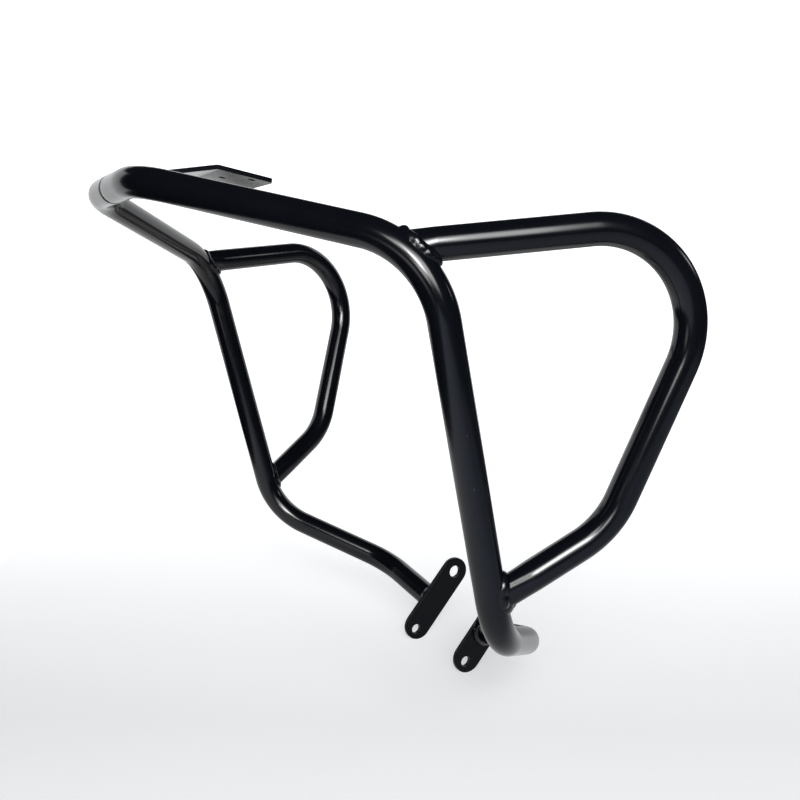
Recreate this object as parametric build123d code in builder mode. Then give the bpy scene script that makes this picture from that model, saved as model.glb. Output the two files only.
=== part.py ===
from build123d import *
from math import cos, pi, radians, sin, sqrt, tan
import os

# Motorcycle crash bars, a weldment of bent steel tube.
# Two mirrored main tubes meet over a sleeve at the front and end on foot plates that bolt to the engine
# mounts. A loop is coped and welded behind each main tube, and a folded bracket behind the front.
# Frame: -Y is forward, +Z up, +X the rider's left. The origin is on the lower foot bolt's axis, midway
# between the foot plates. Everything is modelled on the left and mirrored in the YZ plane.

# Tube stock, and the one bending die used for every bend (radius of the centre line)
TUBE_OD = 25.4
TUBE_WALL = 2.0
BEND_RADIUS = 76.2

# Main tube: corners of its centre line, before the bends round them
FRONT_HALF = 75.0
FRONT_FORWARD = 328.0
FRONT_HEIGHT = 473.0
SHOULDER_OUT = 260.0
SHOULDER_FORWARD = 168.0
SHOULDER_HEIGHT = 418.0
KNEE_OUT = 244.0
KNEE_FORWARD = 95.0
KNEE_HEIGHT = 109.0
ANKLE_OUT = 143.0
ANKLE_BACK = 14.0
ANKLE_HEIGHT = 52.0

# Loop tube: its two corners, measured from the main tube's shoulder and knee corners, the share of the
# shoulder bend where its upper end sits, and how far above the knee corner its lower end sits
LOOP_TOP_OUT = 73.0
LOOP_TOP_BACK = 235.0
LOOP_TOP_RISE = 26.0
LOOP_LOW_OUT = 35.0
LOOP_LOW_BACK = 80.0
LOOP_LOW_RISE = 91.0
LOOP_SHOULDER_SHARE = 0.33
LOOP_KNEE_UP = 36.0

# Foot plates: flat bar with round ends, leaning back. The upper bolt hole is at the centre of its end, the
# lower one nearer to the rim. The main tube meets the plate between them.
FOOT_GAP = 98.0
PLATE_THICKNESS = 5.0
PLATE_WIDTH = 32.0
PLATE_LEAN = 41.0
BOLT_SPACING = 79.0
LOWER_HOLE_DROP = 4.5
TUBE_ABOVE_LOWER_HOLE = 38.0
LOWER_BOLT_HOLE = 11.0
UPPER_BOLT_HOLE = 14.0

# Joint at the middle of the front: the seam between the halves and the sleeve inside them
SEAM_GAP = 0.8
SLEEVE_WALL = 2.0
SLEEVE_CLEARANCE = 0.1
SLEEVE_SET_BACK = 5.0

# Top bracket: folded sheet that rises from the tube to the fold and falls from there to its rear edge
BRACKET_WIDTH = 70.0
BRACKET_THICKNESS = 4.0
BRACKET_ABOVE_AXIS = 8.0
BRACKET_FRONT_LENGTH = 81.0
BRACKET_REAR_LENGTH = 52.0
BRACKET_RISE_ANGLE = 9.4
BRACKET_DROP_ANGLE = 10.3
BRACKET_FOLD_RADIUS = 8.0
BRACKET_CORNER_RADIUS = 4.0
BRACKET_HOLE = 7.0
BRACKET_HOLE_SPACING = 50.0
BRACKET_HOLES_BEHIND_FOLD = 35.0
MIDDLE_HOLE_BEHIND_FOLD = 16.0

# Loop welds: leg on each tube, crown and ripple over the line from toe to toe, and the runs in a pass. The
# leg on the loop is short at the flanks and widens away from them. The last four say how the line where
# the two skins meet is found: angle looked ahead, reach searched, halvings of it, and rounds for a toe.
LOOP_BEAD = 3.6
LOOP_CROWN = 1.2
LOOP_RIPPLE = 0.5
LOOP_BEAD_RUNS = 24
FLANK_LEG = 1.5
FLANK_WIDENING = 0.8
TOE_CLEARANCE = 0.2
ROOT_LIFT = 0.15
LOOK_AHEAD = radians(1.0)
ROOT_REACH = 100.0
ROOT_HALVINGS = 24
TOE_ROUNDS = 6

# Other welds: bead radii, the root gap of a coped end, the clearance that keeps bead and tube apart, and
# the lengths trimmed off a loop's ends and off the main tube beyond the foot plate
FOOT_BEAD = 3.0
BRACKET_BEAD = 3.0
BRACKET_BEAD_MARGIN = 4.0
ROOT_GAP = 0.2
BEAD_CLEARANCE = 0.05
COPE_TRIM = 3.0
FOOT_TRIM = 50.0

# Rounding left on the cut edges of plate and sheet
EDGE_ROUND = 0.8

TUBE_R = TUBE_OD / 2
FOOT_FACE = FOOT_GAP / 2 + PLATE_THICKNESS

os.makedirs("parts", exist_ok=True)


def swept_bar(path, outer_radius, inner_radius=0.0):
    """A tube, or a solid bar, along a centre line of straight runs and bends."""
    with BuildPart() as bar:
        with BuildSketch(Plane(origin=path @ 0, z_dir=path % 0)):
            Circle(outer_radius)
            if inner_radius > 0:
                Circle(inner_radius, mode=Mode.SUBTRACT)
        sweep(path=path)
    return bar.part


def lay_on(point, inward, height):
    """Moves a point along a direction until it rests on a skin, given its height over that skin."""
    for _ in range(TOE_ROUNDS):
        point = point + inward * height(point)
    return point


def saddle_bead(axis, joint, direction):
    """A weld bead round a coped end, in two rippled passes that meet in a mitre at the saddle's flanks."""
    across = (axis % axis.param_at_point(joint)).cross(direction).normalized()
    upright = direction.cross(across)
    lie = TUBE_R + TOE_CLEARANCE

    def over_main(point):
        return axis.distance_to(point) - lie

    def over_loop(point):
        return (point - joint).cross(direction).length - lie

    def root_at(turn):
        """Where a line along the loop's skin, followed back to the joint, meets the main tube's skin."""
        foot = joint + (across * cos(turn) + upright * sin(turn)) * lie
        inside = 0.0
        outside = ROOT_REACH
        for _ in range(ROOT_HALVINGS):
            middle = (inside + outside) / 2
            if over_main(foot + direction * middle) < 0:
                inside = middle
            else:
                outside = middle
        return foot + direction * outside

    def section(turn, flank_root, crown_height):
        """The bead's plane, and in it the toe on the main tube, root, toe on the loop and crown."""
        root = root_at(turn)
        ahead = (root_at(turn + LOOK_AHEAD) - root).normalized()
        along = (ahead + (root - root_at(turn - LOOK_AHEAD)).normalized()).normalized()
        on_main = (root - axis.distance_to_with_closest_points(root)[1]).normalized()
        on_loop = across * cos(turn) + upright * sin(turn)
        bulge = (on_main + on_loop).normalized()
        main_way = along.cross(on_main).normalized()
        loop_way = on_loop.cross(along).normalized()
        loop_leg = min(LOOP_BEAD, FLANK_LEG + FLANK_WIDENING * (root - flank_root).length)
        main_toe = lay_on(root + main_way * LOOP_BEAD, along.cross(main_way), over_main)
        loop_toe = lay_on(root + loop_way * loop_leg, loop_way.cross(along), over_loop)
        middle = (main_toe + loop_toe) / 2
        crown = middle + bulge * (crown_height + max(0.0, (root - middle).dot(bulge)))
        plane = Plane(origin=root, x_dir=along.cross(bulge), z_dir=along)
        corners = [main_toe, root + bulge * ROOT_LIFT, loop_toe, crown]
        flat = [plane.to_local_coords(corner) for corner in corners]
        return plane, [(point.X, point.Y) for point in flat]

    passes = []
    for first in (0, LOOP_BEAD_RUNS):
        flanks = [root_at(pi * first / LOOP_BEAD_RUNS), root_at(pi * first / LOOP_BEAD_RUNS + pi)]
        with BuildPart() as weld_pass:
            for step in range(LOOP_BEAD_RUNS + 1):
                flank_root = flanks[0] if 2 * step < LOOP_BEAD_RUNS else flanks[1]
                ripple = LOOP_RIPPLE * (step % 2)
                plane, points = section(pi * (first + step) / LOOP_BEAD_RUNS, flank_root, LOOP_CROWN + ripple)
                with BuildSketch(plane):
                    with BuildLine():
                        Polyline(*points[:3])
                        ThreePointArc(points[2], points[3], points[0])
                    make_face()
            loft(ruled=True)
        passes.append(weld_pass.solid())
    return Compound(passes)


# Foot plate, left: its inner face lies on the engine mount
plate_up = Vector(0, sin(radians(PLATE_LEAN)), cos(radians(PLATE_LEAN)))
with BuildPart() as foot_plate_left:
    with BuildSketch(Plane(origin=(FOOT_GAP / 2, 0, 0), x_dir=plate_up, z_dir=(1, 0, 0))):
        with Locations(((BOLT_SPACING + LOWER_HOLE_DROP) / 2, 0)):
            SlotCenterToCenter(BOLT_SPACING - LOWER_HOLE_DROP, PLATE_WIDTH)
        Circle(LOWER_BOLT_HOLE / 2, mode=Mode.SUBTRACT)
        with Locations((BOLT_SPACING, 0)):
            Circle(UPPER_BOLT_HOLE / 2, mode=Mode.SUBTRACT)
    extrude(amount=PLATE_THICKNESS)
    rims = foot_plate_left.faces().filter_by(Axis.X)
    fillet([edge for rim in rims for edge in rim.outer_wire().edges()], radius=EDGE_ROUND)

# Main tube, left: bent from one length, cut square at the seam and flat on the foot plate
foot_middle = Vector(FOOT_FACE, 0, 0) + plate_up * TUBE_ABOVE_LOWER_HOLE
front_middle = Vector(SEAM_GAP / 2, -FRONT_FORWARD, FRONT_HEIGHT)
front_corner = Vector(FRONT_HALF, -FRONT_FORWARD, FRONT_HEIGHT)
shoulder = Vector(SHOULDER_OUT, -SHOULDER_FORWARD, SHOULDER_HEIGHT)
knee = Vector(KNEE_OUT, -KNEE_FORWARD, KNEE_HEIGHT)
ankle = Vector(ANKLE_OUT, ANKLE_BACK, ANKLE_HEIGHT)
past_foot = foot_middle + (foot_middle - ankle).normalized() * TUBE_OD
foot_plane = Plane(origin=foot_middle, x_dir=plate_up, z_dir=(1, 0, 0))

with BuildLine() as main_line:
    FilletPolyline(front_middle, front_corner, shoulder, knee, ankle, past_foot, radius=BEND_RADIUS)
main_axis = main_line.wire()
main_bar = swept_bar(main_axis, TUBE_R + BEAD_CLEARANCE)
coping_bar = swept_bar(main_axis, TUBE_R + ROOT_GAP)

with BuildPart() as main_tube_left:
    add(swept_bar(main_axis, TUBE_R, TUBE_R - TUBE_WALL))
    with BuildSketch(foot_plane):
        Circle(FOOT_TRIM)
    extrude(amount=-FOOT_TRIM, mode=Mode.SUBTRACT)

# Weld round the main tube's lower end, on the plate's outer face
with BuildPart() as foot_weld_left:
    with Locations(foot_plane):
        Torus(TUBE_R, FOOT_BEAD)
    split(bisect_by=foot_plane, keep=Keep.TOP)
    add(main_bar, mode=Mode.SUBTRACT)

# Loop tube, left: both ends are fish-mouthed to sit on the main tube
shoulder_bend = main_line.edges().filter_by(GeomType.CIRCLE).sort_by_distance(shoulder)[0]
knee_run = (shoulder - knee).normalized()
upper_joint = shoulder_bend @ LOOP_SHOULDER_SHARE
lower_joint = main_axis.distance_to_with_closest_points(knee + knee_run * LOOP_KNEE_UP)[1]
loop_top = shoulder + Vector(LOOP_TOP_OUT, LOOP_TOP_BACK, LOOP_TOP_RISE)
loop_low = knee + Vector(LOOP_LOW_OUT, LOOP_LOW_BACK, LOOP_LOW_RISE)
upper_run = (loop_top - upper_joint).normalized()
lower_run = (loop_low - lower_joint).normalized()
loop_start = upper_joint + upper_run * COPE_TRIM
loop_end = lower_joint + lower_run * COPE_TRIM

with BuildLine() as loop_line:
    FilletPolyline(loop_start, loop_top, loop_low, loop_end, radius=BEND_RADIUS)
loop_axis = loop_line.wire()

with BuildPart() as loop_tube_left:
    add(swept_bar(loop_axis, TUBE_R, TUBE_R - TUBE_WALL))
    add(coping_bar, mode=Mode.SUBTRACT)

# Welds round the loop's two coped ends
loop_upper_weld_left = saddle_bead(main_axis, upper_joint, upper_run)
loop_lower_weld_left = saddle_bead(main_axis, lower_joint, lower_run)

# Sleeve inside the front of the bar, as long as the straight between the two front bends allows
front_turn = Vector(1, 0, 0).get_angle(shoulder - front_corner)
sleeve_half = FRONT_HALF - BEND_RADIUS * tan(radians(front_turn / 2)) - SLEEVE_SET_BACK
sleeve_r = TUBE_R - TUBE_WALL - SLEEVE_CLEARANCE
front_section = Plane(origin=(0, -FRONT_FORWARD, FRONT_HEIGHT), x_dir=(0, 1, 0), z_dir=(1, 0, 0))
with BuildPart() as joint_sleeve:
    with BuildSketch(front_section):
        Circle(sleeve_r)
        Circle(sleeve_r - SLEEVE_WALL, mode=Mode.SUBTRACT)
    extrude(amount=sleeve_half, both=True)

# Top bracket: the sheet's upper line in side view, folded once, then holed and coped to the tube
rise = radians(BRACKET_RISE_ANGLE)
drop = radians(BRACKET_DROP_ANGLE)
sheet_start = Vector(-FRONT_FORWARD, FRONT_HEIGHT + BRACKET_ABOVE_AXIS)
sheet_fold = sheet_start + Vector(cos(rise), sin(rise)) * BRACKET_FRONT_LENGTH
sheet_end = sheet_fold + Vector(cos(drop), -sin(drop)) * BRACKET_REAR_LENGTH
rear_panel = Plane(origin=(0, sheet_fold.X, sheet_fold.Y), x_dir=(1, 0, 0), z_dir=(0, sin(drop), cos(drop)))

with BuildPart() as bracket_blank:
    with BuildSketch(Plane.YZ):
        with BuildLine():
            FilletPolyline(sheet_start, sheet_fold, sheet_end, radius=BRACKET_FOLD_RADIUS + BRACKET_THICKNESS)
            offset(amount=BRACKET_THICKNESS, side=Side.RIGHT)
        make_face()
    extrude(amount=BRACKET_WIDTH / 2, both=True)

with BuildPart() as top_bracket:
    add(bracket_blank.part)
    corners = top_bracket.edges().filter_by(Axis((0, 0, 0), rear_panel.z_dir)).sort_by(Axis.Y)[-2:]
    fillet(corners, radius=BRACKET_CORNER_RADIUS)
    with BuildSketch(rear_panel):
        with Locations((0, BRACKET_HOLES_BEHIND_FOLD)):
            with GridLocations(BRACKET_HOLE_SPACING, 0, 2, 1):
                Circle(BRACKET_HOLE / 2)
        with Locations((0, MIDDLE_HOLE_BEHIND_FOLD)):
            Circle(BRACKET_HOLE / 2)
    extrude(amount=2 * BRACKET_THICKNESS, both=True, mode=Mode.SUBTRACT)
    with BuildSketch(front_section):
        Circle(TUBE_R + ROOT_GAP)
    extrude(amount=BRACKET_WIDTH / 2, both=True, mode=Mode.SUBTRACT)

# Welds above and below the sheet, on the left half of the tube
sheet_over_axis = BRACKET_ABOVE_AXIS * cos(rise)
bead_heights = [sheet_over_axis, sheet_over_axis - BRACKET_THICKNESS]
with BuildPart() as bracket_weld_left:
    with BuildSketch(
        Plane(
            origin=(BRACKET_BEAD_MARGIN, -FRONT_FORWARD, FRONT_HEIGHT),
            x_dir=(0, cos(rise), sin(rise)),
            z_dir=(1, 0, 0),
        )
    ):
        with Locations(*[(sqrt(TUBE_R**2 - height**2), height) for height in bead_heights]):
            Circle(BRACKET_BEAD)
    extrude(amount=BRACKET_WIDTH / 2 - 2 * BRACKET_BEAD_MARGIN)
    add(main_bar, mode=Mode.SUBTRACT)
    add(bracket_blank.part, mode=Mode.SUBTRACT)

# One node for each piece: the left-hand pieces, their mirror images, and the two on the middle line
left_pieces = {
    "main_tube": main_tube_left.part,
    "loop_tube": loop_tube_left.part,
    "foot_plate": foot_plate_left.part,
    "loop_upper_weld": loop_upper_weld_left,
    "loop_lower_weld": loop_lower_weld_left,
    "foot_weld": foot_weld_left.part,
    "bracket_weld": bracket_weld_left.part,
}
nodes = {"joint_sleeve": joint_sleeve.part, "top_bracket": top_bracket.part}
for name, piece in left_pieces.items():
    nodes[f"{name}_left"] = piece
    nodes[f"{name}_right"] = piece.mirror(Plane.YZ)

for name, piece in nodes.items():
    piece.label = name
    export_step(piece, f"parts/{name}.step")
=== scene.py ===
import random
from math import ceil, cos, exp, pi, radians, sin, tan

import bmesh
import bpy
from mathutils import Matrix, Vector, noise


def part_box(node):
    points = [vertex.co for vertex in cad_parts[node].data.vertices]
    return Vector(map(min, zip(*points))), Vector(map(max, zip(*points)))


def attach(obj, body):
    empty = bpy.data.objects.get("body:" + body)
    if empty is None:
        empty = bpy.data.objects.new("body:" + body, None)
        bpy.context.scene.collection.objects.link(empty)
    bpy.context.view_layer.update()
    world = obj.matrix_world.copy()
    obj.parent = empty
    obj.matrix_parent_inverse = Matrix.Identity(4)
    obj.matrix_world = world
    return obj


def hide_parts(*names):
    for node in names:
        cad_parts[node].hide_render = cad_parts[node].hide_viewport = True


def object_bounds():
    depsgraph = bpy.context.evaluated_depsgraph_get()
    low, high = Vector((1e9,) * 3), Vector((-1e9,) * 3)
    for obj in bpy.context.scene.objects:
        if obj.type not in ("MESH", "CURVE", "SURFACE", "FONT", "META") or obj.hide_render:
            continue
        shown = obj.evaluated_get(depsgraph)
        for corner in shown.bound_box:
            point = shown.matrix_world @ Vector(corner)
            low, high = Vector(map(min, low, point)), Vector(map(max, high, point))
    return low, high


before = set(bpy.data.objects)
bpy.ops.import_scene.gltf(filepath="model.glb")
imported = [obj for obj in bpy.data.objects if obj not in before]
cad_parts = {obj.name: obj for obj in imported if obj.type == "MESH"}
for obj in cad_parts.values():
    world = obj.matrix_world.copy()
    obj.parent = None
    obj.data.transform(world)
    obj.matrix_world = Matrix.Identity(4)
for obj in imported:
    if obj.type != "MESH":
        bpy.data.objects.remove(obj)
cad_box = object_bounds()


# Main tubes: two mirrored lengths of one inch welded steel tube, each bent cold round one die. They butt at
# the middle of the front, and their lower ends are cut flat for the foot plates. A bend made without a
# mandrel goes slightly oval. The whole bar is powder coated after welding.
MM = 0.001
TUBE_R = 12.7 * MM
TUBE_WALL = 2.0 * MM
BEND_R = 76.2 * MM
BEND_OVAL = 0.03
SEAM_HALF = 0.4 * MM
SEAM_ROUND = 0.5 * MM
RUN_STEP = 9.0 * MM
BEND_STEP = 2.5 * MM
TUBE_SIDES = 72
END_ZONE = 30.0 * MM
END_RINGS = 14
PLATE_LEAN = radians(41)
TUBE_UP_PLATE = 38 * MM
RIM_SHARES = (0.0, 0.25, 1.0)
ONE_WAY = 0.999
SHARP_ANGLE = radians(50)

front_middle = Vector((SEAM_HALF, -328 * MM, 473 * MM))
front_corner = Vector((75 * MM, -328 * MM, 473 * MM))
shoulder = Vector((260 * MM, -168 * MM, 418 * MM))
knee = Vector((244 * MM, -95 * MM, 109 * MM))
ankle = Vector((143 * MM, 14 * MM, 52 * MM))
_, plate_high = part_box("foot_plate_left")
foot_middle = Vector((plate_high.x, TUBE_UP_PLATE * sin(PLATE_LEAN), TUBE_UP_PLATE * cos(PLATE_LEAN)))


def bent_line(corners):
    """Stations along runs and bends: point, direction, way to the bend's inside, depth in the bend."""
    stations = []
    start = corners[0]
    for before, corner, after in zip(corners, corners[1:], corners[2:]):
        way_in = (corner - before).normalized()
        way_out = (after - corner).normalized()
        turn = way_in.angle(way_out)
        inside = (way_out - way_in * way_in.dot(way_out)).normalized()
        run_end = corner - way_in * (BEND_R * tan(turn / 2))
        steps = ceil((run_end - start).length / RUN_STEP)
        stations += [(start.lerp(run_end, k / steps), way_in, inside, 0.0) for k in range(steps)]
        centre = run_end + inside * BEND_R
        steps = ceil(turn * BEND_R / BEND_STEP)
        for k in range(steps):
            angle = turn * k / steps
            inward = inside * cos(angle) - way_in * sin(angle)
            direction = way_in * cos(angle) + inside * sin(angle)
            stations.append((centre - inward * BEND_R, direction, inward, sin(pi * k / steps) ** 0.5))
        start = corner + way_out * (BEND_R * tan(turn / 2))
    way_out = (corners[-1] - corners[-2]).normalized()
    steps = ceil((corners[-1] - start).length / RUN_STEP)
    stations += [(start.lerp(corners[-1], k / steps), way_out, inward, 0.0) for k in range(steps + 1)]
    return stations


def skin_rings(stations, radius, shape):
    """Rings of points round a bent line. shape(station, outward) scales the radius."""
    rings = []
    side = stations[0][1].orthogonal().normalized()
    for station in stations:
        point, direction = station[:2]
        side = (side - direction * side.dot(direction)).normalized()
        up = direction.cross(side)
        ring = []
        for k in range(TUBE_SIDES):
            angle = 2 * pi * k / TUBE_SIDES
            outward = side * cos(angle) + up * sin(angle)
            ring.append(point + outward * (radius * shape(station, outward)))
        rings.append(ring)
    return rings


def oval_bend(station, outward):
    """The section flattens a little across the bend's plane and spreads at right angles to it."""
    inward, depth = station[2:]
    return 1 - BEND_OVAL * depth * (outward.dot(inward) ** 2 - 0.5)


def cut_end(rings, stations, cut, zone):
    """Moves the last ring along the tube to where cut puts each point, and shares out rings over the zone."""
    end, way = stations[-1][:2]
    kept = [k for k, s in enumerate(stations) if (end - s[0]).length > zone or s[1].dot(way) < ONE_WAY]
    base = rings[: kept[-1] + 1]
    starts = [point - way * zone for point in rings[-1]]
    tips = [cut(point, way) for point in rings[-1]]
    for step in range(END_RINGS + 1):
        base.append([a.lerp(b, step / END_RINGS) for a, b in zip(starts, tips)])
    return base


def closed_mesh(name, parts, around=True):
    """A mesh of quads through rings of points, each ring closed. In each part the last ring joins the first,
    or both are capped."""
    mesh = bpy.data.meshes.new(name)
    points = []
    faces = []
    for rings in parts:
        size = len(rings[0])
        count = len(rings)
        base = len(points)
        points += [point for ring in rings for point in ring]
        for j in range(count if around else count - 1):
            here = base + j * size
            there = base + (j + 1) % count * size
            for k in range(size):
                after = (k + 1) % size
                faces.append((here + k, here + after, there + after, there + k))
        if not around:
            faces.append(tuple(range(base, base + size)))
            faces.append(tuple(range(len(points) - size, len(points))))
    mesh.from_pydata(points, [], faces)
    tidy = bmesh.new()
    tidy.from_mesh(mesh)
    bmesh.ops.recalc_face_normals(tidy, faces=tidy.faces)
    tidy.to_mesh(mesh)
    tidy.free()
    mesh.shade_smooth()
    mesh.set_sharp_from_angle(angle=SHARP_ANGLE)
    return mesh


def mirrored(mesh, name):
    """The right-hand copy of a left-hand mesh."""
    copy = mesh.copy()
    copy.name = name
    for vertex in copy.vertices:
        vertex.co.x = -vertex.co.x
    copy.flip_normals()
    return copy


def dress(mesh, node, material):
    """Shows a mesh in place of a node of the frame, with its finish."""
    piece = bpy.data.objects.new(mesh.name, mesh)
    bpy.context.scene.collection.objects.link(piece)
    mesh.materials.append(material)
    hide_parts(node)
    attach(piece, "root")


def flat_on_plate(point, way):
    """Follows a line on the tube to the foot plate's outer face."""
    return point + way * ((foot_middle.x - point.x) / way.x)


def tube_rings(stations, radius, shape, start_cut=None, end_cut=None, start_round=0.0):
    """Rings of one skin of a tube, with a rounded start or with ends cut over a zone."""
    rings = skin_rings(stations, radius, shape)
    if end_cut:
        rings = cut_end(rings, stations, *end_cut)
    if start_cut:
        reverse = [(s[0], -s[1], s[2], s[3]) for s in reversed(stations)]
        rings = cut_end(rings[::-1], reverse, *start_cut)[::-1]
    if start_round:
        point, way = stations[0][:2]
        rim = []
        for share in RIM_SHARES:
            shrink = 1 - (1 - share) ** 2 * start_round / radius
            rim.append([point + (p - point) * shrink + way * (share * start_round) for p in rings[0]])
        rings = rim + rings[1:]
    return rings


main_line = bent_line([front_middle, front_corner, shoulder, knee, ankle, foot_middle])
foot_cut = (flat_on_plate, END_ZONE)
outer = tube_rings(main_line, TUBE_R, oval_bend, end_cut=foot_cut, start_round=SEAM_ROUND)
inner = tube_rings(main_line, TUBE_R - TUBE_WALL, oval_bend, end_cut=foot_cut)
main_mesh = closed_mesh("bent_main_tube_left", [outer + inner[::-1]])


def linear(hex_colour):
    """An sRGB hex colour as linear red, green, blue and alpha."""
    channels = [int(hex_colour[k : k + 2], 16) / 255 for k in (1, 3, 5)]
    return [c / 12.92 if c <= 0.04045 else ((c + 0.055) / 1.055) ** 2.4 for c in channels] + [1.0]


def add_node(tree, kind, inputs=None, **settings):
    """Adds a shader node with its settings; inputs holds values, or outputs to link, by socket."""
    made = tree.nodes.new(kind)
    for key, value in settings.items():
        setattr(made, key, value)
    for socket, value in (inputs or {}).items():
        if isinstance(value, bpy.types.NodeSocket):
            tree.links.new(value, made.inputs[socket])
        else:
            made.inputs[socket].default_value = value
    return made


RAMP = ("From Min", "From Max", "To Min", "To Max")
FILM_PATCH = 40 * MM
FILM_SPREAD = (0.3, 0.7)
GLOSS_LESS = 0.025
GLOSS_MORE = 0.03
PEEL_PITCH = 2.2 * MM
WAVE_HEIGHT = 0.05 * MM
DUST_PITCH = 14 * MM
DUST_EDGE = (0.014, 0.022)
DUSTLESS_SHARE = 0.72
COAT_IOR = 1.5


def powder_coat(name, roughness, peel_height, lump_size, shine=0.5):
    """Black polyester powder, baked to a gloss film: the eye sees a deep black with a faint orange peel, a
    slow change in gloss where the film is thicker, and a few specks of dust."""
    material = bpy.data.materials.new(name)
    material.use_nodes = True
    tree = material.node_tree
    shader = tree.nodes["Principled BSDF"]
    place = add_node(tree, "ShaderNodeTexCoord").outputs["Object"]
    film = add_node(
        tree, "ShaderNodeTexNoise", {"Vector": place, "Scale": 1 / FILM_PATCH, "Detail": 3.0}
    ).outputs["Fac"]
    peel = add_node(
        tree, "ShaderNodeTexNoise", {"Vector": place, "Scale": 1 / PEEL_PITCH, "Detail": 1.0}
    ).outputs["Fac"]
    wave = add_node(
        tree, "ShaderNodeTexNoise", {"Vector": place, "Scale": 1 / lump_size, "Detail": 2.0}
    ).outputs["Fac"]
    cells = add_node(
        tree, "ShaderNodeTexVoronoi", {"Vector": place, "Scale": 1 / DUST_PITCH, "Randomness": 1.0}
    )
    speck = add_node(
        tree,
        "ShaderNodeMapRange",
        {"Value": cells.outputs["Distance"], **dict(zip(RAMP, (*DUST_EDGE, 1.0, 0.0)))},
    ).outputs["Result"]
    chance = add_node(tree, "ShaderNodeSeparateColor", {"Color": cells.outputs["Color"]}).outputs["Red"]
    rare = add_node(
        tree, "ShaderNodeMath", {0: chance, 1: DUSTLESS_SHARE}, operation="GREATER_THAN"
    ).outputs["Value"]
    dust = add_node(tree, "ShaderNodeMath", {0: speck, 1: rare}, operation="MULTIPLY").outputs["Value"]
    black = add_node(
        tree,
        "ShaderNodeMix",
        {"Factor": film, "A": linear("#05070b"), "B": linear("#090b11")},
        data_type="RGBA",
    )
    dusty = add_node(
        tree,
        "ShaderNodeMix",
        {"Factor": dust, "A": black.outputs["Result"], "B": linear("#6d7074")},
        data_type="RGBA",
    )
    gloss_ends = (roughness - GLOSS_LESS, roughness + GLOSS_MORE)
    gloss = add_node(
        tree,
        "ShaderNodeMapRange",
        {"Value": film, **dict(zip(RAMP, (*FILM_SPREAD, *gloss_ends)))},
    ).outputs["Result"]
    low = add_node(
        tree, "ShaderNodeBump", {"Height": wave, "Distance": WAVE_HEIGHT, "Strength": 0.5}
    ).outputs["Normal"]
    fine = add_node(
        tree, "ShaderNodeBump", {"Height": peel, "Distance": peel_height, "Strength": 0.6, "Normal": low}
    ).outputs["Normal"]
    tree.links.new(dusty.outputs["Result"], shader.inputs["Base Color"])
    tree.links.new(gloss, shader.inputs["Roughness"])
    tree.links.new(fine, shader.inputs["Normal"])
    shader.inputs["IOR"].default_value = COAT_IOR
    shader.inputs["Specular IOR Level"].default_value = shine
    return material


tube_coat = powder_coat(
    "black_powder_coat_on_tube", roughness=0.16, peel_height=0.012 * MM, lump_size=26 * MM
)
dress(main_mesh, "main_tube_left", tube_coat)
dress(mirrored(main_mesh, "bent_main_tube_right"), "main_tube_right", tube_coat)


# Joint sleeve: a short turned tube inside the front of the bar, which the two halves slide on to. It is left
# bare, and only a hairline of it shows in the seam.
TURNING_FEED = 0.3 * MM
TURNING_DEPTH = 0.02 * MM


def finish_solid(node, material):
    """Gives a solid of the frame its finish."""
    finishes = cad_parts[node].data.materials
    finishes.clear()
    finishes.append(material)


# Turned steel shows fine rings with a dull sheen. They are drawn about six times as coarse as the feed, so
# that they show.
sleeve_steel = bpy.data.materials.new("turned_bare_steel")
sleeve_steel.use_nodes = True
sleeve_tree = sleeve_steel.node_tree
sleeve_shader = sleeve_tree.nodes["Principled BSDF"]
sleeve_place = add_node(sleeve_tree, "ShaderNodeTexCoord").outputs["Object"]
turning = add_node(
    sleeve_tree,
    "ShaderNodeTexWave",
    {"Vector": sleeve_place, "Scale": 1 / (20 * TURNING_FEED), "Distortion": 0.4, "Detail": 1.0},
    bands_direction="X",
)
sleeve_tone = add_node(
    sleeve_tree,
    "ShaderNodeMix",
    {"Factor": turning.outputs["Fac"], "A": linear("#7c7a78"), "B": linear("#96948f")},
    data_type="RGBA",
)
sleeve_bump = add_node(
    sleeve_tree, "ShaderNodeBump", {"Height": turning.outputs["Fac"], "Distance": TURNING_DEPTH}
)
sleeve_tree.links.new(sleeve_tone.outputs["Result"], sleeve_shader.inputs["Base Color"])
sleeve_tree.links.new(sleeve_bump.outputs["Normal"], sleeve_shader.inputs["Normal"])
sleeve_shader.inputs["Metallic"].default_value = 1.0
sleeve_shader.inputs["Roughness"].default_value = 0.38
finish_solid("joint_sleeve", sleeve_steel)


# Loop tubes: a shorter length of the same tube behind each side, bent twice. Both ends are fish-mouthed to
# sit on the main tube, and were first pressed in from both flanks in a vice, so they narrow to the tip.
ROOT_GAP = 0.2 * MM
LOOP_SHOULDER_SHARE = 0.33
LOOP_KNEE_UP = 36 * MM
UPPER_SLOPE = 0.16
LOWER_SLOPE = 0.1
UPPER_PRESS = 26 * MM
LOWER_PRESS = 38 * MM
PRESS_ROUNDS = 3
MOUTH_REACH = 4 * TUBE_R
MOUTH_HALVINGS = 24
loop_top = shoulder + Vector((73 * MM, 235 * MM, 26 * MM))
loop_low = knee + Vector((35 * MM, 80 * MM, 91 * MM))
lower_joint = knee + (shoulder - knee).normalized() * LOOP_KNEE_UP


def bend_point(before, corner, after, share):
    """A point of the centre line, part of the way round the bend at a corner."""
    way_in = (corner - before).normalized()
    way_out = (after - corner).normalized()
    turn = way_in.angle(way_out)
    inside = (way_out - way_in * way_in.dot(way_out)).normalized()
    centre = corner - way_in * (BEND_R * tan(turn / 2)) + inside * BEND_R
    return centre - (inside * cos(share * turn) - way_in * sin(share * turn)) * BEND_R


upper_joint = bend_point(front_corner, shoulder, knee, LOOP_SHOULDER_SHARE)


def near_station(point):
    """The main tube's station nearest to a point."""
    return min(main_line, key=lambda s: (s[0] - point).length_squared)


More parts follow.
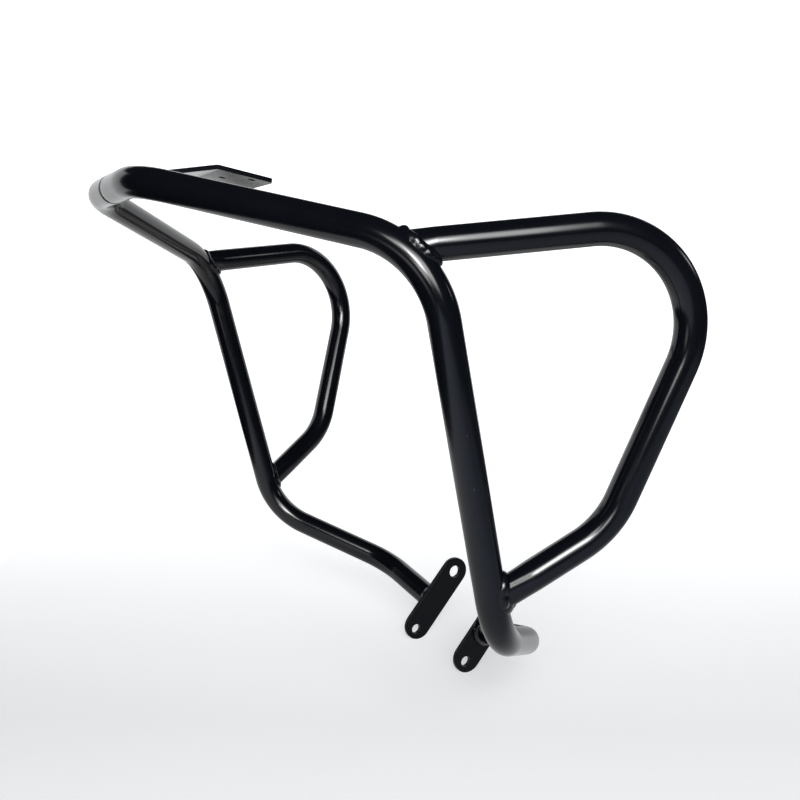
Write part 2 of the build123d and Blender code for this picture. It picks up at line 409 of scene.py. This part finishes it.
def main_axis_foot(point):
    """The point of the main tube's centre line nearest to a point."""
    near, way = near_station(point)[:2]
    return near + way * (point - near).dot(way)


def fish_mouth(point, way):
    """Follows a line on the loop towards the main tube, to where it meets the main tube's skin."""
    inside = point
    outside = point - way * MOUTH_REACH
    for _ in range(MOUTH_HALVINGS):
        middle = (inside + outside) / 2
        if (middle - main_axis_foot(middle)).length < TUBE_R + ROOT_GAP:
            inside = middle
        else:
            outside = middle
    return outside


def pressed_mouth(joint, way, zone, steepest):
    """A cut for the loop's end at a joint, pressed in from both flanks more and more towards its tip."""
    across = near_station(joint)[1].cross(way).normalized()

    def cut(point, out):
        spoke = (point - joint).normalized()
        slope = steepest * spoke.dot(across) ** 2
        tip = point
        for _ in range(PRESS_ROUNDS):
            reach = (tip - joint).dot(way)
            tip = fish_mouth(point - spoke * (slope * (zone - reach)), out)
        return tip

    return cut


upper_way = (loop_top - upper_joint).normalized()
lower_way = (loop_low - lower_joint).normalized()
upper_mouth = pressed_mouth(upper_joint, upper_way, UPPER_PRESS, UPPER_SLOPE)
lower_mouth = pressed_mouth(lower_joint, lower_way, LOWER_PRESS, LOWER_SLOPE)
loop_cuts = (upper_mouth, UPPER_PRESS), (lower_mouth, LOWER_PRESS)
loop_line = bent_line([upper_joint, loop_top, loop_low, lower_joint])
outer = tube_rings(loop_line, TUBE_R, oval_bend, *loop_cuts)
inner = tube_rings(loop_line, TUBE_R - TUBE_WALL, oval_bend, *loop_cuts)
loop_mesh = closed_mesh("bent_loop_tube_left", [outer + inner[::-1]])
dress(loop_mesh, "loop_tube_left", tube_coat)
dress(mirrored(loop_mesh, "bent_loop_tube_right"), "loop_tube_right", tube_coat)


# Loop welds: a wire-fed bead right round each coped end, laid by hand in lumps and coated over. The toes run
# out on to both tubes, the crown is proud and uneven, and the passes overlap in a swelling at both flanks.
LOOP_LEGS = (5.0 * MM, 4.2 * MM)
LOOP_CROWN = 1.2 * MM
UPPER_BLOBS = (7.6 * MM, 5.6 * MM, 3.2 * MM)
LOWER_BLOBS = (7.0 * MM, 5.6 * MM, 1.7 * MM)
BLOB_BLEND = 4
HEAVY_LENGTH = 10.0 * MM
HEAVY_PLACE = -5.0 * MM
LIGHT_SHARE = 0.3
WELD_SINK = 0.8 * MM
CROWN_POINTS = 17
LOOP_WELD_STEPS = 300
OVERLAP_TURN = radians(34)
LANE_GAP = 17.3
LANE_START = 3.7
BLOB_SIDES = (-0.3, 0.3)
RADIUS_SPREAD = (0.8, 1.1)
HEIGHT_SPREAD = (0.6, 1.0)
PITCH_SPREAD = (0.75, 1.25)
SIZE_WAVE = 9 * MM
SIZE_WANDER = 0.15
SIZE_SWELL = 0.1
CROWN_WAVE = 12 * MM
CROWN_LEAST = 0.5
CROWN_WANDER = 0.3
CROWN_SWELL = 0.7
END_SHARE = 0.15


def wander(length, scale, lane):
    """A smooth value from -1 to 1 that wanders along a weld; each lane wanders by itself."""
    return noise.noise(Vector((length / scale, LANE_GAP * lane, LANE_START)))


def laid_blobs(total, sizes, lane):
    """Blobs of a hand-laid bead: place along it, side to side place, radius and height. Sizes holds their
    pitch, radius and height. They are heavy where the arc was struck and lighter after that."""
    draw = random.Random(lane)
    pitch, radius, height = sizes
    blobs = []
    place = 0.0
    while place < total - pitch / 2:
        from_start = min(abs(place - HEAVY_PLACE), abs(place - HEAVY_PLACE - total))
        share = LIGHT_SHARE + (1 - LIGHT_SHARE) * exp(-((from_start / HEAVY_LENGTH) ** 2))
        side = draw.uniform(*BLOB_SIDES)
        reach = radius * draw.uniform(*RADIUS_SPREAD)
        blobs.append((place, side, reach, height * share * draw.uniform(*HEIGHT_SPREAD)))
        place += pitch * draw.uniform(*PITCH_SPREAD)
    return blobs


def bead_rings(roots, legs, crown, blob_sizes, lane, closed=True):
    """Sections of a lumpy bead along root points. Each root has the outward normals of the two faces that
    it joins and a swelling; the bead goes round the second face's piece anticlockwise, seen from outside."""
    count = len(roots)
    total = sum((roots[k][0] - roots[k - 1][0]).length for k in range(0 if closed else 1, count))
    blobs = laid_blobs(total, blob_sizes, lane)
    rings = []
    length = 0.0
    for k, (root, face_a, face_b, swelling) in enumerate(roots):
        ahead = roots[(k + 1) % count][0] if closed or k + 1 < count else root
        behind = roots[k - 1][0] if closed or k else root
        along = (ahead - behind).normalized()
        away_a = along.cross(face_a).normalized()
        away_b = face_b.cross(along).normalized()
        from_end = min(1.0, length / legs[0], (total - length) / legs[0])
        fade = 1.0 if closed else max(END_SHARE, from_end) ** 0.5
        size = fade * (1 + SIZE_WANDER * wander(length, SIZE_WAVE, lane) + SIZE_SWELL * swelling)
        size_a = legs[0] * size
        size_b = legs[1] * size
        toe_a = root + away_a * size_a - face_a * (0.5 * size_a * size_a / TUBE_R)
        toe_b = root + away_b * size_b - face_b * (0.5 * size_b * size_b / TUBE_R)
        bulge = (face_a + face_b).normalized()
        uneven = CROWN_WANDER * wander(length, CROWN_WAVE, lane + 1)
        height = crown * fade * (CROWN_LEAST + uneven + CROWN_SWELL * swelling)
        ring = []
        for j in range(CROWN_POINTS):
            u = 2 * j / (CROWN_POINTS - 1) - 1
            lump = 0.0
            for place, side, radius, top in blobs:
                gap = abs(length - place)
                gap = min(gap, total - gap) if closed else gap
                if gap < radius:
                    cap = max(0.0, 1 - (gap * gap + ((u - side) * legs[0]) ** 2) / radius**2)
                    lump += (top * cap) ** BLOB_BLEND
            arch = 1 - u * u
            lift = height * arch + lump ** (1 / BLOB_BLEND) * arch**0.5 * fade
            ring.append(toe_a.lerp(toe_b, (u + 1) / 2) + bulge * lift)
        ring.append(toe_b - face_b * WELD_SINK)
        ring.append(root - bulge * WELD_SINK)
        ring.append(toe_a - face_a * WELD_SINK)
        rings.append(ring)
        length += (ahead - root).length
    return rings


def saddle_roots(joint, way, mouth):
    """Root points round a coped end, with the normals of the main tube and of the loop there."""
    across = near_station(joint)[1].cross(way).normalized()
    upright = way.cross(across)
    roots = []
    for k in range(LOOP_WELD_STEPS):
        turn = 2 * pi * k / LOOP_WELD_STEPS
        outward = across * cos(turn) + upright * sin(turn)
        point = mouth(joint + outward * TUBE_R, -way)
        from_flank = min(abs(turn - flank) for flank in (0, pi, 2 * pi))
        swelling = exp(-((from_flank / OVERLAP_TURN) ** 2))
        roots.append((point, (point - main_axis_foot(point)).normalized(), outward, swelling))
    return roots


weld_coat = powder_coat(
    "black_powder_coat_on_weld", roughness=0.19, peel_height=0.02 * MM, lump_size=3 * MM
)
for end, joint, way, mouth, blob_sizes, lane in (
    ("upper", upper_joint, upper_way, upper_mouth, UPPER_BLOBS, 0),
    ("lower", lower_joint, lower_way, lower_mouth, LOWER_BLOBS, 5),
):
    rings = bead_rings(saddle_roots(joint, way, mouth), LOOP_LEGS, LOOP_CROWN, blob_sizes, lane)
    bead = closed_mesh(f"loop_{end}_bead_left", [rings])
    dress(bead, f"loop_{end}_weld_left", weld_coat)
    twin = mirrored(bead, f"loop_{end}_bead_right")
    dress(twin, f"loop_{end}_weld_right", weld_coat)


# Foot plates: flat bar with round ends and a bolt hole in each, which lies on the engine mount. The edges are
# broken with a file before coating, so the film rolls over them.
plate_coat = powder_coat(
    "satin_black_powder_coat_on_plate", roughness=0.3, peel_height=0.014 * MM, lump_size=18 * MM, shine=0.12
)
finish_solid("foot_plate_left", plate_coat)
finish_solid("foot_plate_right", plate_coat)


# Foot welds: one bead of weld metal round the end of each main tube, on the plate's outer face. The tube
# meets the plate at a slant, so the bead follows an oval.
FOOT_LEGS = (3.6 * MM, 5.8 * MM)
FOOT_CROWN = 1.0 * MM
FOOT_BLOBS = (5.6 * MM, 4.2 * MM, 2.4 * MM)
FOOT_WELD_STEPS = 220
foot_way = (foot_middle - ankle).normalized()
foot_side = foot_way.cross(Vector((0, 0, 1))).normalized()
foot_up = foot_side.cross(foot_way)
foot_roots = []
for k in range(FOOT_WELD_STEPS):
    turn = 2 * pi * k / FOOT_WELD_STEPS
    outward = foot_side * cos(turn) + foot_up * sin(turn)
    root = flat_on_plate(foot_middle + outward * TUBE_R, foot_way)
    foot_roots.append((root, Vector((1, 0, 0)), outward, 0.0))
foot_rings = bead_rings(foot_roots, FOOT_LEGS, FOOT_CROWN, FOOT_BLOBS, lane=9)
bead = closed_mesh("foot_bead_left", [foot_rings])
dress(bead, "foot_weld_left", weld_coat)
dress(mirrored(bead, "foot_bead_right"), "foot_weld_right", weld_coat)


# Top bracket: sheet steel, sheared, folded once across and drilled, then coped to the front tube. Its
# coat is nearly as glossy as the tube's.
sheet_coat = powder_coat(
    "black_powder_coat_on_sheet", roughness=0.2, peel_height=0.014 * MM, lump_size=18 * MM, shine=0.4
)
finish_solid("top_bracket", sheet_coat)


# Bracket welds: a short bead of weld metal above and below the folded sheet on each side, where it meets the
# front tube. Each one tapers off at both ends.
BRACKET_LEGS = (3.4 * MM, 3.4 * MM)
BRACKET_CROWN = 0.8 * MM
BRACKET_BLOBS = (4.5 * MM, 3.4 * MM, 1.4 * MM)
BRACKET_RISE = radians(9.4)
SHEET_ABOVE_AXIS = 8.0 * MM * cos(BRACKET_RISE)
SHEET_THICKNESS = 4.0 * MM
BRACKET_WELD_STEPS = 80
BRACKET_LANE = 13
bracket_low, bracket_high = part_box("bracket_weld_left")
sheet_way = Vector((0, cos(BRACKET_RISE), sin(BRACKET_RISE)))
sheet_up = Vector((0, -sin(BRACKET_RISE), cos(BRACKET_RISE)))
front_axis = Vector((0, front_middle.y, front_middle.z))
bracket_beads = []
for height, side in ((SHEET_ABOVE_AXIS, 1), (SHEET_ABOVE_AXIS - SHEET_THICKNESS, -1)):
    outward = (sheet_way * (TUBE_R**2 - height**2) ** 0.5 + sheet_up * height) / TUBE_R
    roots = []
    for k in range(BRACKET_WELD_STEPS + 1):
        along = k / BRACKET_WELD_STEPS
        along = along if side > 0 else 1 - along
        root = front_axis + outward * TUBE_R
        root.x = bracket_low.x + (bracket_high.x - bracket_low.x) * along
        roots.append((root, outward, sheet_up * side, 0.0))
    lane = BRACKET_LANE + side
    bracket_beads.append(bead_rings(roots, BRACKET_LEGS, BRACKET_CROWN, BRACKET_BLOBS, lane, closed=False))
bead = closed_mesh("bracket_bead_left", bracket_beads, around=False)
dress(bead, "bracket_weld_left", weld_coat)
dress(mirrored(bead, "bracket_bead_right"), "bracket_weld_right", weld_coat)


# Studio: white paper lies under the object and sweeps up behind it, in a dim room. Its glow is painted light:
# it shows pale to the camera and in reflections, whiter towards the back, and still takes the object's soft
# shadow.
# Each ramp is a start and an end in metres, then the values there.
FLOOR_Z = cad_box[0][2]
SWEEP_CENTRE = Vector((0, -0.12, FLOOR_Z))
SWEEP_R = 1.7
SWEEP_COVE = 0.5
SWEEP_HEIGHT = 1.5
SWEEP_AZIMUTH = radians(-58)
SWEEP_ENDS = (radians(-136), radians(-14))
SWEEP_LIFT = 0.002
SWEEP_COLUMNS = 48
COVE_STEPS = 8
FLOOR_R = 4.0
FLOOR_SIDES = 64
FLOOR_FRONT = -0.47
FLOOR_SLANT = 0.35
FLOOR_LEFT = 1.4
FEET_ON_FLOOR = (0.08, 0.26, 0)
MIRROR_AZIMUTH = radians(-145)
UPRIGHT_RAMP = (0.02, 0.2, 0.0, 1.15)
SEEN_RAMP = (-0.1, 0.6, 0.46, 0.95)
MIRROR_RAMP = (-0.7, 0.6, 0.3, 1.0)
REAR_RAMP = (0.6, 1.3, 1.0, 0.2)
FEET_GLOW_RAMP = (0.12, 0.4, 0.78, 0.0)
FEET_SHADE_RAMP = (0.15, 0.55, 0.5, 1.0)
BLUE_GLOW_RAMP = (0.2, 0.5, 0.0, 1.0)
FIBRE_CLOUD = 1000 / 3 * MM

# Uncoated paper: matt and white, with faint clouds in its tone.
paper = bpy.data.materials.new("white_paper")
paper.use_nodes = True
paper_tree = paper.node_tree
paper_tree.nodes.clear()
paper_place = add_node(paper_tree, "ShaderNodeTexCoord").outputs["Object"]
path = add_node(paper_tree, "ShaderNodeLightPath")
mirrored_ray = add_node(
    paper_tree,
    "ShaderNodeMath",
    {0: path.outputs["Is Glossy Ray"], 1: path.outputs["Is Transmission Ray"]},
    operation="MAXIMUM",
)
depth = add_node(
    paper_tree,
    "ShaderNodeVectorMath",
    {0: paper_place, 1: (sin(SWEEP_AZIMUTH), cos(SWEEP_AZIMUTH), 0)},
    operation="DOT_PRODUCT",
)
mirror_depth = add_node(
    paper_tree,
    "ShaderNodeVectorMath",
    {0: paper_place, 1: (sin(MIRROR_AZIMUTH), cos(MIRROR_AZIMUTH), 0)},
    operation="DOT_PRODUCT",
)
paper_axes = add_node(paper_tree, "ShaderNodeSeparateXYZ", {"Vector": paper_place})
upright = add_node(
    paper_tree,
    "ShaderNodeMapRange",
    {"Value": paper_axes.outputs["Z"], **dict(zip(RAMP, UPRIGHT_RAMP))},
)
camera_glow = add_node(
    paper_tree,
    "ShaderNodeMapRange",
    {"Value": depth.outputs["Value"], **dict(zip(RAMP, SEEN_RAMP))},
)
floor_glow = add_node(
    paper_tree,
    "ShaderNodeMapRange",
    {"Value": mirror_depth.outputs["Value"], **dict(zip(RAMP, MIRROR_RAMP))},
)
from_feet = add_node(
    paper_tree,
    "ShaderNodeVectorMath",
    {0: paper_place, 1: FEET_ON_FLOOR},
    operation="DISTANCE",
)
# Painted light: in reflections the floor glows brighter right by the feet.
feet_glow = add_node(
    paper_tree,
    "ShaderNodeMapRange",
    {"Value": from_feet.outputs["Value"], **dict(zip(RAMP, FEET_GLOW_RAMP))},
)
rear_fade = add_node(
    paper_tree,
    "ShaderNodeMapRange",
    {"Value": paper_axes.outputs["Y"], **dict(zip(RAMP, REAR_RAMP))},
)
faded_glow = add_node(
    paper_tree,
    "ShaderNodeMath",
    {0: floor_glow.outputs["Result"], 1: rear_fade.outputs["Result"]},
    operation="MULTIPLY",
)
# Painted shade: in reflections the floor's glow drops to half round the feet, where the object shades it.
feet_shade = add_node(
    paper_tree,
    "ShaderNodeMapRange",
    {"Value": from_feet.outputs["Value"], **dict(zip(RAMP, FEET_SHADE_RAMP))},
)
shaded_glow = add_node(
    paper_tree,
    "ShaderNodeMath",
    {0: faded_glow.outputs["Value"], 1: feet_shade.outputs["Result"]},
    operation="MULTIPLY",
)
low_glow = add_node(
    paper_tree,
    "ShaderNodeMath",
    {0: shaded_glow.outputs["Value"], 1: feet_glow.outputs["Result"]},
    operation="MAXIMUM",
)
mirror_glow = add_node(
    paper_tree,
    "ShaderNodeMath",
    {0: low_glow.outputs["Value"], 1: upright.outputs["Result"]},
    operation="MAXIMUM",
)
seen_glow = add_node(
    paper_tree,
    "ShaderNodeMath",
    {0: camera_glow.outputs["Result"], 1: upright.outputs["Result"]},
    operation="MAXIMUM",
)
seen = add_node(
    paper_tree,
    "ShaderNodeMath",
    {0: path.outputs["Is Camera Ray"], 1: seen_glow.outputs["Value"]},
    operation="MULTIPLY",
)
glow = add_node(
    paper_tree,
    "ShaderNodeMath",
    {0: mirrored_ray.outputs["Value"], 1: mirror_glow.outputs["Value"], 2: seen.outputs["Value"]},
    operation="MULTIPLY_ADD",
)
fibre = add_node(
    paper_tree, "ShaderNodeTexNoise", {"Vector": paper_place, "Scale": 1 / FIBRE_CLOUD, "Detail": 3.0}
)
paper_tone = add_node(
    paper_tree,
    "ShaderNodeMix",
    {"Factor": fibre.outputs["Fac"], "A": linear("#f6f8fb"), "B": linear("#ffffff")},
    data_type="RGBA",
)
# Painted light: in reflections the paper's glow turns a cool blue on the camera's side.
camera_side = add_node(
    paper_tree,
    "ShaderNodeMapRange",
    {"Value": paper_axes.outputs["X"], **dict(zip(RAMP, BLUE_GLOW_RAMP))},
)
blue_glow_share = add_node(
    paper_tree,
    "ShaderNodeMath",
    {0: camera_side.outputs["Result"], 1: mirrored_ray.outputs["Value"]},
    operation="MULTIPLY",
)
glow_tone = add_node(
    paper_tree,
    "ShaderNodeMix",
    {"Factor": blue_glow_share.outputs["Value"], "A": paper_tone.outputs["Result"], "B": linear("#e0eaff")},
    data_type="RGBA",
)
glowing = add_node(
    paper_tree,
    "ShaderNodeEmission",
    {"Color": glow_tone.outputs["Result"], "Strength": glow.outputs["Value"]},
)
matt_tone = add_node(
    paper_tree,
    "ShaderNodeMix",
    {"Factor": mirrored_ray.outputs["Value"], "A": linear("#c4c6c8"), "B": linear("#000000")},
    data_type="RGBA",
)
matt = add_node(paper_tree, "ShaderNodeBsdfDiffuse", {"Color": matt_tone.outputs["Result"]})
paper_mix = add_node(
    paper_tree, "ShaderNodeAddShader", {0: glowing.outputs["Emission"], 1: matt.outputs["BSDF"]}
)
add_node(paper_tree, "ShaderNodeOutputMaterial", {"Surface": paper_mix.outputs["Shader"]})


def stage_piece(name, points, faces):
    """A piece of the studio, not of the object, in the white paper."""
    mesh = bpy.data.meshes.new(name)
    mesh.from_pydata(points, [], faces)
    mesh.shade_smooth()
    mesh.materials.append(paper)
    piece = bpy.data.objects.new(name, mesh)
    piece.location = SWEEP_CENTRE
    bpy.context.scene.collection.objects.link(piece)


profile = []
for k in range(COVE_STEPS + 1):
    lift = pi / 2 * k / COVE_STEPS
    out = SWEEP_R - SWEEP_COVE + SWEEP_COVE * sin(lift)
    profile.append((out, SWEEP_LIFT + SWEEP_COVE * (1 - cos(lift))))
profile.append((SWEEP_R, SWEEP_HEIGHT))
sweep_points = []
sweep_faces = []
for column in range(SWEEP_COLUMNS + 1):
    azimuth = SWEEP_ENDS[0] + (SWEEP_ENDS[1] - SWEEP_ENDS[0]) * column / SWEEP_COLUMNS
    sweep_points += [(sin(azimuth) * out, cos(azimuth) * out, up) for out, up in profile]
for column in range(SWEEP_COLUMNS):
    for row in range(len(profile) - 1):
        here = column * len(profile) + row
        sweep_faces.append((here, here + len(profile), here + len(profile) + 1, here + 1))
stage_piece("paper_sweep", sweep_points, sweep_faces)
floor_points = []
for k in range(FLOOR_SIDES):
    turn = 2 * pi * k / FLOOR_SIDES
    x = min(cos(turn) * FLOOR_R, FLOOR_LEFT)
    floor_points.append((x, max(sin(turn) * FLOOR_R, FLOOR_FRONT - FLOOR_SLANT * x), 0))
stage_piece("paper_floor", floor_points, [tuple(range(FLOOR_SIDES))])

world = bpy.data.worlds.new("dim_room")
bpy.context.scene.world = world
world.use_nodes = True
world_tree = world.node_tree
world_path = add_node(world_tree, "ShaderNodeLightPath")
room = add_node(
    world_tree,
    "ShaderNodeMix",
    {"Factor": world_path.outputs["Is Camera Ray"], "A": linear("#26282c"), "B": linear("#ffffff")},
    data_type="RGBA",
)
world_tree.links.new(room.outputs["Result"], world_tree.nodes["Background"].inputs["Color"])


# Light: a wide window behind the camera, made of overlapping softboxes round the sky's hot patch, and the
# faint glow of a doorway at the back. Nothing hangs over the object, so its upper sides stay deep black.
LIGHT_TARGET = Vector((0.1, -0.13, 0.28))


def softbox(name, azimuth, lift, distance, width, height, radiance, soft):
    """An area lamp that faces the object, with angles in degrees and sizes in metres. Radiance is 1 where it
    would look white. Soft is the part of its width and of its height over which each edge fades."""
    lamp = bpy.data.lights.new(name, "AREA")
    lamp.shape = "RECTANGLE"
    lamp.size = width
    lamp.size_y = height
    lamp.energy = radiance * pi * width * height
    piece = bpy.data.objects.new(name, lamp)
    heading = Vector((sin(radians(azimuth)), cos(radians(azimuth)), 0)) * cos(radians(lift))
    heading.z = sin(radians(lift))
    piece.location = LIGHT_TARGET + heading * distance
    piece.rotation_euler = heading.to_track_quat("Z", "Y").to_euler()
    piece.visible_camera = False
    bpy.context.scene.collection.objects.link(piece)
    lamp.use_nodes = True
    tree = lamp.node_tree
    place = add_node(tree, "ShaderNodeNewGeometry").outputs["Parametric"]
    off = add_node(tree, "ShaderNodeVectorMath", {0: place, 1: (0.5, 0.5, 0)}, operation="SUBTRACT")
    off = add_node(tree, "ShaderNodeVectorMath", {0: off.outputs["Vector"]}, operation="ABSOLUTE")
    ways = add_node(tree, "ShaderNodeSeparateXYZ", {"Vector": off.outputs["Vector"]})
    fades = []
    for axis, part in zip("XY", soft):
        edge = {"Value": ways.outputs[axis], **dict(zip(RAMP, (0.5 - part, 0.5, 1.0, 0.0)))}
        fades.append(add_node(tree, "ShaderNodeMapRange", edge, interpolation_type="SMOOTHSTEP"))
    fade = {0: fades[0].outputs["Result"], 1: fades[1].outputs["Result"]}
    glow = add_node(tree, "ShaderNodeMath", fade, operation="MULTIPLY")
    tree.links.new(glow.outputs["Value"], tree.nodes["Emission"].inputs["Strength"])


softbox(
    "window_right",
    azimuth=106, lift=25, distance=1.9,
    width=1.25, height=1.5, radiance=9.0, soft=(0.18, 0.4),
)
softbox(
    "window_hot_patch",
    azimuth=114, lift=22, distance=1.8,
    width=0.5, height=0.6, radiance=24.0, soft=(0.3, 0.3),
)
softbox(
    "window_left",
    azimuth=124, lift=7.5, distance=1.9,
    width=0.6, height=0.5, radiance=7.0, soft=(0.3, 0.3),
)
softbox(
    "window_upper_left",
    azimuth=125, lift=28, distance=1.9,
    width=0.9, height=0.65, radiance=8.0, soft=(0.25, 0.35),
)
softbox(
    "window_far_left",
    azimuth=148, lift=-6, distance=1.4,
    width=0.6, height=0.5, radiance=1.4, soft=(0.4, 0.4),
)
softbox(
    "doorway",
    azimuth=22, lift=22, distance=1.9,
    width=0.5, height=0.4, radiance=3.5, soft=(0.3, 0.4),
)


# Camera: beside the front of the left side, a little above the middle of the bars, looking slightly down. A
# stand under a metre away makes the near loop look much larger than the far one.
CAMERA_AT = Vector((807.8, -498.3, 391.2)) * MM
CAMERA_AZIMUTH = 60.90
CAMERA_DOWN = 7.29
LENS = 40.55
SENSOR = 36.0
NEAR = 0.01
lens = bpy.data.cameras.new("camera")
lens.lens = LENS
lens.sensor_width = SENSOR
lens.clip_start = NEAR
camera = bpy.data.objects.new("camera", lens)
camera.location = CAMERA_AT
camera.rotation_euler = (radians(90 - CAMERA_DOWN), 0, radians(CAMERA_AZIMUTH))
bpy.context.scene.collection.objects.link(camera)
bpy.context.scene.camera = camera
bpy.context.scene.view_settings.view_transform = "Standard"
